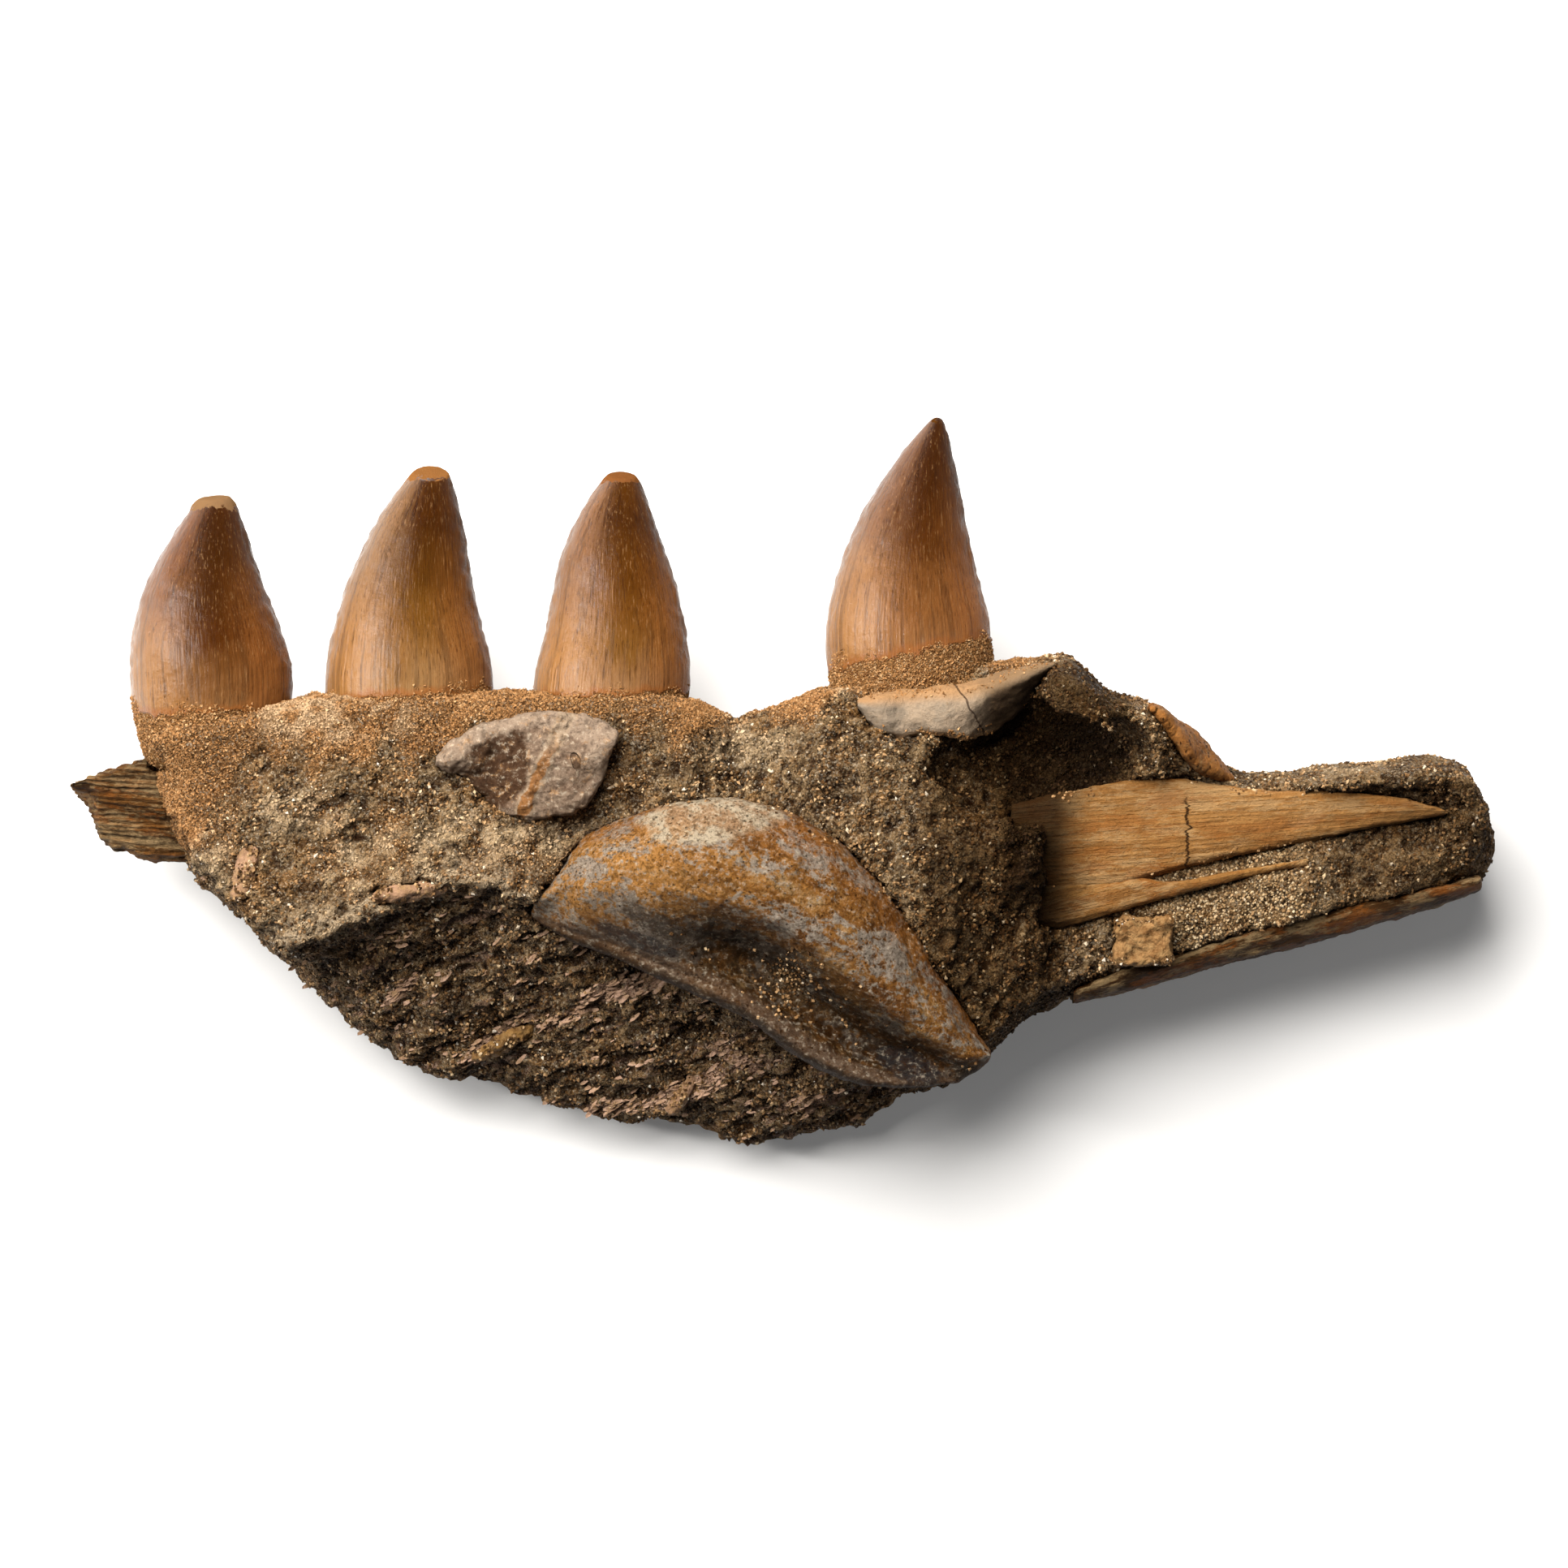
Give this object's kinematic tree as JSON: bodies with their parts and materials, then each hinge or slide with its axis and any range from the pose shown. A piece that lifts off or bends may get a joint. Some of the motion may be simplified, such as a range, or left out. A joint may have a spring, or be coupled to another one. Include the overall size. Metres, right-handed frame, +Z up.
{
  "type": "fossil mosasaur jaw fragment",
  "caption": "Mosasaur jaw fragment lying on its back in sandstone matrix, with a row of pointed teeth on their roots, jaw bone and broken bones set in the rock.",
  "frame": {"origin": "centre of the outline on the surface it lies on", "axes": "+X along the jaw towards its long arm, +Y the way the teeth point, +Z up out of the side cleaned for show"},
  "size_m": [0.2466, 0.1256, 0.0575],
  "materials": {
    "sandstone": "rough, sandy",
    "tooth": "glossy enamel, dark brown tip to honey base",
    "stained_bone": "smooth fossil bone, mottled grey and orange",
    "fibrous_bone": "fibrous fossil bone",
    "grey_bone": "smooth grey fossil bone",
    "bone_chip": "pale broken bone"
  },
  "bodies": {
    "root": {"matrix": "sandstone", "tooth_1": "tooth", "tooth_2": "tooth", "tooth_3": "tooth", "tooth_4": "tooth", "curved_bone": "stained_bone", "jaw_bone_plate": "fibrous_bone", "plate_splinter": "fibrous_bone", "jaw_bone_strip": "fibrous_bone", "left_bone_splinter": "fibrous_bone", "socket_bone": "grey_bone", "grey_bone": "grey_bone", "small_bone_block": "bone_chip", "shoulder_bone": "fibrous_bone", "bone_chip_1": "bone_chip", "bone_chip_2": "bone_chip", "bone_chip_3": "bone_chip", "bone_chip_4": "bone_chip"}
  },
  "joints": []
}
